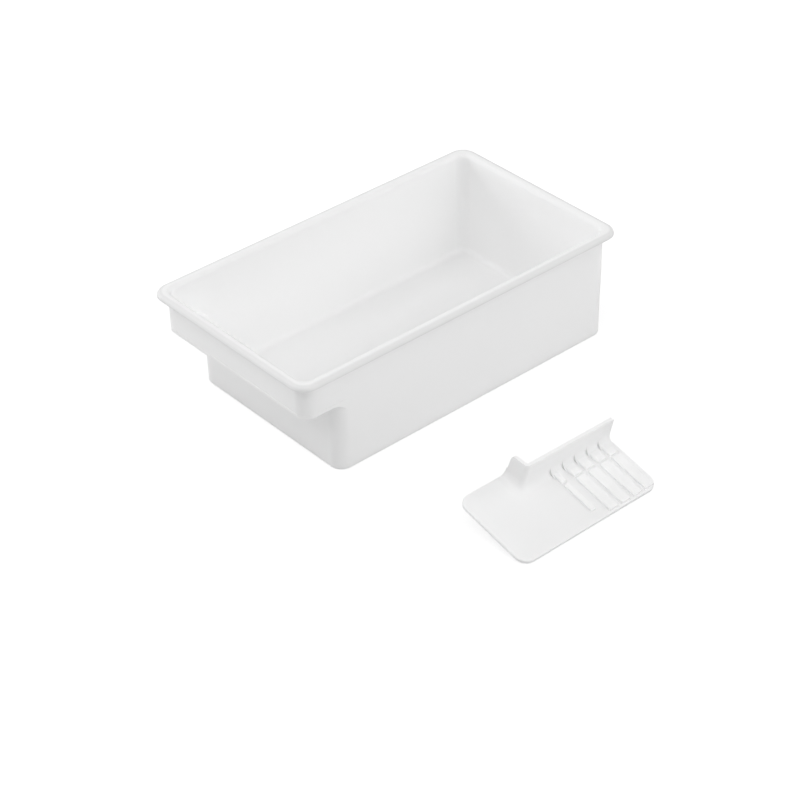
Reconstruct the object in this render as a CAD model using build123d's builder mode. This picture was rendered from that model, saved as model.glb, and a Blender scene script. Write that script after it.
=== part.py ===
from build123d import *
from math import atan2, cos, radians, sin, sqrt, tan
import os

os.makedirs("parts", exist_ok=True)

# A deep open keeper case for butter, with a finger grip moulded at one end, and beside it
# a small ribbed slicing guide that leans on its own foot. Millimetres, Z up.
# The origin is on the surface that both stand on, under the middle of the case's rim.
# The grip end of the case points along -Y.

# Case
rim_length = 185.0  # over the rim, grip end to plain end
rim_width = 104.2
case_height = 55.2
rim_overhang = 3.8  # how far the rim stands out from the wall
rim_thickness = 2.3
rim_crown_radius = 2.0  # rounding from the rim's top over its outer edge
rim_lower_radius = 0.25  # its lower outer edge
rim_corner_radius = 7.8
rim_inner_radius = 2.2  # rounding from the rim's top into the hollow
rim_root_radius = 1.0  # where the wall meets the rim's underside
wall = 1.5
floor_thickness = 1.8
wall_corner_radius = 6.1
draft_angle = 0.5
base_edge_radius = 1.0
hollow_floor_radius = 3.0
grip_reach = 17.4  # how far the finger grip stands out past the end wall below it
grip_depth = 19.4  # from the top of the rim to the grip's underside
grip_edge_radius = 2.2
grip_root_radius = 4.5  # where the grip's underside meets the end wall
shelf_edge_radius = 1.2  # inside the grip, where its floor meets its walls

# Slicing guide, in its own plane: along its long edge, across it, and up from its underside
guide_length = 78.6
guide_width = 41.4  # at the end without bars; the barred part is as wide as the upright's line
plate_thickness = 1.85
guide_corner_radius = 5.6
guide_edge_radius = 0.6
guide_beside = 53.1  # clear surface between the case's rim and the raised edge, seen from above
guide_start = -56.3  # where its plain short edge lies along Y
upright_line = 30.5  # from the resting edge to the upright's front face
upright_start = 26.3  # from the plain short edge to the upright's end face
upright_height = 14.1
upright_fall = 0.8  # the long wall is this much lower at its free end
upright_tip_radius = 1.2
upright_thickness = 1.6
upright_end_margin = 1.2  # from the long wall's end to the plate's free short edge
upright_corner_radius = 2.0
upright_root_radius = 4.5
root_sheet = 1.0  # the upright's root goes this deep into the plate
end_drop = 1.2  # the end wall is this much lower at the back
end_lean = 1.2  # and its free edge leans in by this much
end_corner_radius = 2.6
foot_drop = 7.6  # the foot below the plate, which tilts the guide
bar_end_margin = 2.45  # from the last bar to the guide's free short edge
bar_pitch = 7.05
bar_gap = 2.1
bar_count = 5
bar_height = 1.0
bar_edge_radius = 0.6
narrow_bar_width = 2.7
bar_margin = 1.3  # from the resting edge to the bars
narrow_bar_margin = 5.2
cross_gap_line = 22.6  # from the resting edge to the gap that crosses the bars
cross_gap = 1.0
notch_width = 1.0

# Worked out from the sizes above
body_width = rim_width - 2 * rim_overhang
body_length = rim_length - 2 * rim_overhang
draft = tan(radians(draft_angle))
rim_underside = case_height - rim_thickness
grip_underside = case_height - grip_depth
hollow_overshoot = 1.0  # the hollow's form stands above the rim, so that it cuts clean


def half_width(height, inset):
    """Half the case's width at a height, drawn in by inset."""
    return body_width / 2 - draft * (case_height - height) - inset


def end_position(height, inset):
    """How far each end of the case lies from the origin at a height."""
    return body_length / 2 - draft * (case_height - height) - inset


def block(bottom, top, near, far, inset):
    """A drafted block as wide as the case, drawn in by inset, from near to far along Y."""
    with BuildPart() as form:
        with BuildSketch(Plane.XY.offset(bottom)):
            with Locations((0, (near + far) / 2)):
                RectangleRounded(2 * half_width(bottom, inset), far - near, wall_corner_radius - inset)
        extrude(amount=top - bottom, taper=-draft_angle)
    return form.part


def deep_block(bottom, top, inset):
    """The case's deep part as a filled block, short of the grip."""
    near = -end_position(bottom, inset) + grip_reach
    return block(bottom, top, near, end_position(bottom, inset), inset)


def rounded_below(solid, radius):
    """The block with its lower edge rounded."""
    with BuildPart() as form:
        add(solid)
        fillet(form.faces().sort_by(Axis.Z)[0].edges(), radius)
    return form.part


def grip_block(bottom, top, inset, radius):
    """The grip as a filled block that reaches back into the deep part."""
    near = -end_position(bottom, inset)
    far = near + grip_reach + 3 * wall_corner_radius
    return rounded_below(block(bottom, top, near, far, inset), radius)


def grip_root(underside, inset, radius):
    """The rounding between the deep part's end wall and the underside of the grip."""
    bottom = underside - 2 * radius
    top = underside + wall
    with BuildPart() as form:
        add(deep_block(bottom, top, inset))
        with BuildSketch(Plane.XY.offset(underside)):
            Rectangle(rim_width, rim_length)
        extrude(amount=wall)
        slab_underside = form.faces().filter_by(Axis.Z).sort_by(Axis.Z)[1]
        fillet(slab_underside.inner_wires()[0].edges(), radius)
        full_length = block(bottom, top, -end_position(bottom, inset), end_position(bottom, inset), inset)
        add(full_length, mode=Mode.INTERSECT)
    return form.part


# Case: one thin moulding, a deep tub with a rounded rim and a hollow grip at one end
hollow_top = case_height + hollow_overshoot
shelf = grip_underside + wall
outside_depth = rounded_below(deep_block(0, case_height, 0), base_edge_radius)
outside_grip = grip_block(grip_underside, case_height, 0, grip_edge_radius)
outside_root = grip_root(grip_underside, 0, grip_root_radius)
hollow_depth = rounded_below(deep_block(floor_thickness, hollow_top, wall), hollow_floor_radius)
hollow_grip = grip_block(shelf, hollow_top, wall, shelf_edge_radius)
hollow_root = grip_root(shelf, wall, grip_root_radius + wall)

with BuildPart() as case:
    with BuildSketch(Plane.XY.offset(rim_underside)):
        RectangleRounded(rim_width, rim_length, rim_corner_radius)
    extrude(amount=rim_thickness)
    fillet(case.faces().sort_by(Axis.Z)[-1].edges(), rim_crown_radius)
    fillet(case.faces().sort_by(Axis.Z)[0].edges(), rim_lower_radius)
    add(outside_depth)
    add(outside_grip)
    lip_underside = case.faces().filter_by(Axis.Z).sort_by(Axis.Z)[-2]
    fillet(lip_underside.inner_wires()[0].edges(), rim_root_radius)
    add(outside_root)
    add(hollow_depth, mode=Mode.SUBTRACT)
    add(hollow_grip, mode=Mode.SUBTRACT)
    add(hollow_root, mode=Mode.SUBTRACT)
    rim_face = case.faces().filter_by(Axis.Z).sort_by(Axis.Z)[-1]
    fillet(rim_face.inner_wires()[0].edges(), rim_inner_radius)
case.part.label = "case"
export_step(case.part, "parts/case.step")

# Slicing guide: a thin plate whose barred part ends at an upright wall. The wall turns a corner
# and runs back along the end of the wider part. Below the plate it goes on down as a foot.
tilt = atan2(foot_drop, upright_line)
guide_x = rim_width / 2 + guide_beside + guide_width * cos(tilt)
guide_plane = Plane(
    origin=(guide_x, guide_start, guide_edge_radius * (1 - sin(tilt) - cos(tilt))),
    x_dir=(0, 1, 0),
    z_dir=(sin(tilt), 0, cos(tilt)),
)
plate_top = guide_plane.offset(plate_thickness)
guide_up = Axis((0, 0, 0), guide_plane.z_dir)
corner_at = (Align.MIN, Align.MIN)
upright_back = upright_line + upright_thickness
return_inside = upright_start + upright_thickness
upright_end = guide_length - upright_end_margin
return_end = guide_width - guide_edge_radius
bar_start = guide_length - bar_end_margin - bar_count * bar_pitch + bar_gap
upright_corners = [
    (upright_start, upright_line),
    (upright_end, upright_line),
    (upright_end, upright_back),
    (return_inside, upright_back),
    (return_inside, return_end),
    (upright_start, return_end),
]


def edge_near(form, along, across, height):
    """The edge of a form nearest to a point above the plate's top."""
    return form.edges().sort_by_distance(plate_top.from_local_coords(Vector(along, across, height)))[0]


with BuildPart() as upright:
    # A sheet inside the plate carries the upright, so that its root can be rounded
    root_margin = 1.5 * upright_root_radius
    with BuildSketch(plate_top.offset(-root_sheet)):
        with Locations((upright_start - root_margin, upright_line - root_margin)):
            Rectangle(
                upright_end - upright_start + root_margin,
                upright_thickness + root_margin,
                align=corner_at,
            )
            Rectangle(
                upright_thickness + root_margin,
                return_end - upright_line + root_margin,
                align=corner_at,
            )
    extrude(amount=root_sheet)
    with BuildSketch(plate_top):
        with BuildLine():
            Polyline(*upright_corners, close=True)
        make_face()
    extrude(amount=upright_height)
    fillet(edge_near(upright, upright_start, upright_line, upright_height / 2), upright_corner_radius)
    bend = upright_corner_radius * (1 - 1 / sqrt(2))
    root_edges = [
        edge_near(upright, guide_length / 2, upright_line, 0),
        edge_near(upright, upright_start + bend, upright_line + bend, 0),
        edge_near(upright, upright_start, upright_back + upright_corner_radius, 0),
    ]
    fillet(root_edges, upright_root_radius)
    # The long wall falls a little towards its free end
    front_plane = Plane(
        origin=plate_top.from_local_coords(Vector(0, upright_line, 0)),
        x_dir=plate_top.x_dir,
        z_dir=-plate_top.y_dir,
    )
    with BuildSketch(front_plane):
        with BuildLine():
            Polyline(
                (return_inside, upright_height),
                (upright_end, upright_height - upright_fall),
                (upright_end, upright_height),
                close=True,
            )
        make_face()
    extrude(amount=-upright_thickness, mode=Mode.SUBTRACT)
    fillet(
        edge_near(upright, upright_end, upright_back, upright_height - upright_fall),
        upright_tip_radius,
    )
    # The end wall falls away towards the back
    return_plane = Plane(
        origin=plate_top.from_local_coords(Vector(upright_start, 0, 0)),
        x_dir=plate_top.y_dir,
        z_dir=plate_top.x_dir,
    )
    with BuildSketch(return_plane) as end_cut:
        with BuildLine():
            Polyline(
                (upright_back, upright_height),
                (return_end - end_lean, upright_height - end_drop),
                (return_end, 0),
                (guide_width, 0),
                (guide_width, upright_height),
                close=True,
            )
        make_face()
        end_corner = Vector(return_end - end_lean, upright_height - end_drop)
        fillet(end_cut.vertices().sort_by_distance(end_corner)[0], end_corner_radius)
    extrude(amount=upright_thickness, mode=Mode.SUBTRACT)

with BuildPart() as foot:
    # Below the upright its walls fill the plate's edge, and the long one stands on the surface
    with BuildSketch(guide_plane):
        with Locations((upright_start, upright_line)):
            Rectangle(upright_end - upright_start, upright_thickness, align=corner_at)
    extrude(amount=-foot_drop)
    fillet(foot.faces().sort_by(guide_up)[0].edges(), guide_edge_radius)
    with BuildSketch(guide_plane):
        with BuildLine():
            Polyline(*upright_corners, close=True)
        make_face()
    extrude(amount=plate_thickness)

with BuildPart() as bars:
    # Each bar is cut by the cross gap into a long run and a short block at the upright's root
    run_end = cross_gap_line - cross_gap / 2
    block_start = cross_gap_line + cross_gap / 2
    block_length = upright_line - block_start
    with BuildSketch(plate_top):
        for number in range(bar_count):
            start = bar_start + number * bar_pitch
            narrow = number == 0
            bar_width = narrow_bar_width if narrow else bar_pitch - bar_gap
            run_start = narrow_bar_margin if narrow else bar_margin
            with Locations((start, run_start)):
                Rectangle(bar_width, run_end - run_start, align=corner_at)
            with Locations((start, block_start)):
                Rectangle(bar_width, block_length, align=corner_at)
    extrude(amount=bar_height)
    fillet(bars.edges().group_by(guide_up)[-1], bar_edge_radius)

with BuildPart() as notches:
    # Each gap between the bars runs on as a notch in the rounding at the upright's foot
    notch_centres = [bar_start + number * bar_pitch - bar_gap / 2 for number in range(bar_count)]
    with BuildSketch(plate_top):
        with Locations([(centre, upright_line - upright_root_radius / 2) for centre in notch_centres]):
            Rectangle(notch_width, upright_root_radius)
    extrude(amount=upright_root_radius)

with BuildPart() as guide:
    with BuildSketch(guide_plane) as outline:
        with BuildLine():
            Polyline(
                (0, 0),
                (guide_length, 0),
                (guide_length, upright_back),
                (return_inside, upright_back),
                (return_inside, guide_width),
                (0, guide_width),
                close=True,
            )
        make_face()
        round_corners = [Vector(0, 0), Vector(guide_length, 0), Vector(0, guide_width)]
        fillet(
            [outline.vertices().sort_by_distance(corner)[0] for corner in round_corners],
            guide_corner_radius,
        )
    extrude(amount=plate_thickness)
    fillet(guide.edges().filter_by(guide_plane), guide_edge_radius)
    add(foot)
    add(upright)
    add(notches, mode=Mode.SUBTRACT)
    add(bars)
guide.part.label = "slicing_guide"
export_step(guide.part, "parts/slicing_guide.step")
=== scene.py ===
from math import radians
import bpy
from mathutils import Matrix

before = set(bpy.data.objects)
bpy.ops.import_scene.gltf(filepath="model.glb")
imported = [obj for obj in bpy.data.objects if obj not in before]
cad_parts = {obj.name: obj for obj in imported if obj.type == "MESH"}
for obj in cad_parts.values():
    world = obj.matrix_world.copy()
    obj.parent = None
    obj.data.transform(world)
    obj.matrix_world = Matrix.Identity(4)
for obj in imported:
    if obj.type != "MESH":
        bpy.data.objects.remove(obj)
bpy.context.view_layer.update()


# Camera
# It looks down on the table from the right of the finger grip, through a long lens,
# so that the case and the guide beside it keep their proportions.
def turned(place, turn, rise):
    """At the place, looking down by the rise. Turn 0 looks from the grip end, 90 from the guide."""
    return (
        Matrix.Translation(place)
        @ Matrix.Rotation(radians(turn), 4, "Z")
        @ Matrix.Rotation(radians(90 - rise), 4, "X")
    )


camera_place = (0.65518, -0.55672, 0.60061)
camera_turn = 49.415
camera_rise = 35.892
camera_roll = -1.219
camera_data = bpy.data.cameras.new("camera")
camera_data.sensor_width = 36
camera_data.lens = 103.83
camera_data.clip_start = 0.01
camera = bpy.data.objects.new("camera", camera_data)
camera.matrix_world = (
    turned(camera_place, camera_turn, camera_rise)
    @ Matrix.Rotation(radians(camera_roll), 4, "Z")
)
bpy.context.scene.collection.objects.link(camera)
bpy.context.scene.camera = camera
bpy.context.scene.view_settings.view_transform = "Standard"


# Table top
# A plain pale sheet under the case and the guide. The camera sees it white, and it keeps
# the soft shadow that they cast.
class Value:
    """A socket of a material's nodes. Arithmetic on it adds Math nodes."""

    def __init__(self, tree, socket=None):
        self.tree = tree
        self.socket = socket

    def node(self, kind, settings, inputs, output=0):
        """Adds a node, sets it up, feeds its sockets with values or links, and gives an output."""
        made = self.tree.nodes.new(kind)
        for name, setting in settings.items():
            setattr(made, name, setting)
        for key, given in inputs.items():
            if isinstance(given, Value):
                self.tree.links.new(given.socket, made.inputs[key])
            else:
                made.inputs[key].default_value = given
        return Value(self.tree, made.outputs[output] if made.outputs else None)

    def maths(self, operation, first, second):
        """Adds a Math node."""
        return self.node("ShaderNodeMath", {"operation": operation}, {0: first, 1: second})

    def __add__(self, other):
        return self.maths("ADD", self, other)

    def __sub__(self, other):
        return self.maths("SUBTRACT", self, other)

    def __rsub__(self, other):
        return self.maths("SUBTRACT", other, self)

    def __mul__(self, other):
        return self.maths("MULTIPLY", self, other)

    __radd__ = __add__
    __rmul__ = __mul__


def new_material(name):
    """An empty material, and a value to start its nodes from."""
    material = bpy.data.materials.new(name)
    material.use_nodes = True
    material.node_tree.nodes.clear()
    return material, Value(material.node_tree)


table_width = 12
table_gap = 0.0003
table_lit = 0.69  # how pale the sheet is to the lamps
table_seen = 0.3  # and to the camera, for which the glow makes it up to white
glow_near = 0.78
glow_far = 1
glow_reach = (0.3, 1.2)

bpy.ops.object.select_all(action="DESELECT")
bpy.ops.mesh.primitive_plane_add(size=table_width, location=(0, 0, -table_gap))
table = bpy.context.object
table.name = "table_top"
table_finish, start = new_material("table_top")
camera_ray = start.node("ShaderNodeLightPath", {}, {}, "Is Camera Ray")
place = start.node("ShaderNodeTexCoord", {}, {}, "Object")
away = start.node("ShaderNodeVectorMath", {"operation": "LENGTH"}, {0: place}, "Value")
far = start.node(
    "ShaderNodeMapRange",
    {},
    {"Value": away, "From Min": glow_reach[0], "From Max": glow_reach[1]},
)
paleness = table_lit - camera_ray * (table_lit - table_seen)
brightness = camera_ray * (far * (glow_far - glow_near) + glow_near)
sheet = start.node("ShaderNodeBsdfDiffuse", {}, {"Color": paleness})
glow = start.node("ShaderNodeEmission", {}, {"Strength": brightness})
shown = start.node("ShaderNodeAddShader", {}, {0: sheet, 1: glow})
start.node("ShaderNodeOutputMaterial", {}, {"Surface": shown})
table.data.materials.append(table_finish)


# Studio light
# Four soft boxes in a white room: low on the left, low behind the plain end, higher on
# the right, and high over the grip end. None stands near the camera, so the upright corners
# that face it are the darkest.
lamps_face = (0.045, 0, 0.03)
lamp_distance = 1.35
room_light = 0.4


def soft_box(name, turn, rise, size, power):
    """A square soft box, set back at the turn and rise so that it faces the case and the guide."""
    data = bpy.data.lights.new(name, "AREA")
    data.shape = "SQUARE"
    data.size = size
    data.energy = power
    lamp = bpy.data.objects.new(name, data)
    lamp.matrix_world = turned(lamps_face, turn, rise) @ Matrix.Translation((0, 0, lamp_distance))
    bpy.context.scene.collection.objects.link(lamp)


soft_box("lamp_left", turn=298, rise=20, size=0.7, power=6.3)
soft_box("lamp_behind", turn=152, rise=22, size=0.7, power=2.8)
soft_box("lamp_right", turn=104, rise=38, size=1.0, power=5.2)
soft_box("lamp_high", turn=0, rise=66, size=1.2, power=7.0)

room = bpy.data.worlds.new("room")
room.use_nodes = True
room.node_tree.nodes.clear()
bpy.context.scene.world = room
start = Value(room.node_tree)
camera_ray = start.node("ShaderNodeLightPath", {}, {}, "Is Camera Ray")
strength = camera_ray * (1 - room_light) + room_light
backdrop = start.node("ShaderNodeBackground", {}, {"Color": (1, 1, 1, 1), "Strength": strength})
start.node("ShaderNodeOutputWorld", {}, {"Surface": backdrop})


# Case
# A deep open tub with a rounded lip all round and a hollow finger grip at one end. One thin
# injection moulding in white plastic, which lets some light through. The lip is painted a shade
# greyer as painted shade, and its rounded outer edge is painted greyer still as painted shade.
# The lip is also made duller.
def grey(level):
    """A grey as a colour."""
    return (level, level, level, 1)


def mix_colour(mask, first, second):
    """The first colour where the mask is 0, and the second where it is 1."""
    return mask.node("ShaderNodeMix", {"data_type": "RGBA"}, {0: mask, 6: first, 7: second}, 2)


def ramp(value, low, high):
    """A mask that rises from 0 at low to 1 at high."""
    limits = {"Value": value, "From Min": low, "From Max": high}
    return value.node("ShaderNodeMapRange", {"interpolation_type": "SMOOTHSTEP"}, limits)


def vector_maths(operation, first, second, output="Vector"):
    """Adds a Vector Math node."""
    return first.node("ShaderNodeVectorMath", {"operation": operation}, {0: first, 1: second}, output)


plastic_roughness = 0.48
roughness_spread = 0.12
cloud_depth = 0.015
relief = 0.00008


def moulded_plastic(name, white, paint_light_of):
    """White moulded plastic with a fine skin and slight sinks, with painted shade and painted highlight
    added by the last argument, which also sets the roughness.
    """
    material, start = new_material(name)
    place = start.node("ShaderNodeTexCoord", {}, {}, "Object")

    def noise(scale, detail):
        return start.node("ShaderNodeTexNoise", {}, {"Vector": place, "Scale": scale, "Detail": detail})

    clouds = noise(scale=30, detail=2)
    clouded = mix_colour(clouds, grey(white - cloud_depth), grey(white))
    colour, roughness = paint_light_of(place, clouded)
    fine_skin = noise(scale=2400, detail=2) * 0.06
    sinks = noise(scale=60, detail=1) * 0.5
    bump = start.node(
        "ShaderNodeBump",
        {},
        {"Strength": 1, "Distance": relief, "Height": fine_skin + sinks},
    )
    patches = noise(scale=140, detail=3) - 0.5
    plastic = start.node(
        "ShaderNodeBsdfPrincipled",
        {},
        {
            "Base Color": colour,
            "Roughness": roughness + patches * roughness_spread,
            "IOR": 1.5,
            "Subsurface Weight": 0.5,
            "Subsurface Radius": (1, 1, 1),
            "Subsurface Scale": 0.004,
            "Normal": bump,
        },
    )
    start.node("ShaderNodeOutputMaterial", {}, {"Surface": plastic})
    return material


def finish_node(name, material):
    """Gives every material slot of a carried-over piece the finish."""
    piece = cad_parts[name]
    for slot in piece.material_slots:
        slot.material = material


case_white = 0.95
# The lip's two greys are painted shade, standing in for a dimmer rim and a dark line along its outer
# edge.
lip_painted_shade_grey = 0.865
lip_edge_painted_shade_grey = 0.75
lip_dulling = 0.12
lip_heights = (0.0528, 0.0542)
rim_half_width = 0.0521
rim_half_length = 0.0925
rim_corner_radius = 0.0078
lip_edge_radii = (0.005, 0.0064)


def paint_lip_shade(place, clouded):
    """Paints the lip a shade greyer as painted shade and dulls it, and paints its rounded outer edge
    greyer still as painted shade.
    """
    height = vector_maths("DOT_PRODUCT", place, (0, 0, 1), "Value")
    lip = ramp(height, *lip_heights)
    # How far a point is outside the rectangle through the centres of the rim's rounded
    # corners. Their third number is above every height, so height doesn't count.
    centres = (rim_half_width - rim_corner_radius, rim_half_length - rim_corner_radius, 1)
    outside = vector_maths("SUBTRACT", vector_maths("ABSOLUTE", place, (0, 0, 0)), centres)
    outside = vector_maths("MAXIMUM", outside, (0, 0, 0))
    edge = ramp(vector_maths("LENGTH", outside, (0, 0, 0), "Value"), *lip_edge_radii)
    # Painted shade: the lip greyer, and its outer edge greyer still.
    lip_shaded = mix_colour(lip, clouded, grey(lip_painted_shade_grey))
    return mix_colour(edge, lip_shaded, grey(lip_edge_painted_shade_grey)), plastic_roughness + lip * lip_dulling


finish_node("case", moulded_plastic("case_white", case_white, paint_lip_shade))


# Slicing guide
# A thin sloping plate with raised bars, which ends at an L-shaped upright wall and stands on
# a foot. A second white moulding, loose beside the case. The bars' tops are smoother, and are
# painted lighter as a painted highlight.
guide_white = 0.945
# The bars' tops are painted lighter than the plate: a painted highlight.
bar_painted_highlight_white = 0.985
bar_polish = 0.1
plate_up = (0.2418, 0, 0.9703)
plate_height = 0.03688
bar_heights = (0.0005, 0.0009)
plate_across = (-0.9703, 0, 0.2418)
plate_front = -0.14109
wall_foot = (0.0255, 0.027)


def polish_and_highlight_bars(place, clouded):
    """Paints what stands just above the sloping plate, short of the upright's foot, lighter as a
    painted highlight, and smooths it.
    """
    above = vector_maths("DOT_PRODUCT", place, plate_up, "Value") - plate_height
    across = vector_maths("DOT_PRODUCT", place, plate_across, "Value") - plate_front
    top = ramp(above, *bar_heights) * (1 - ramp(across, *wall_foot))
    return mix_colour(top, clouded, grey(bar_painted_highlight_white)), plastic_roughness - top * bar_polish


finish_node("slicing_guide", moulded_plastic("guide_white", guide_white, polish_and_highlight_bars))

bpy.context.view_layer.update()
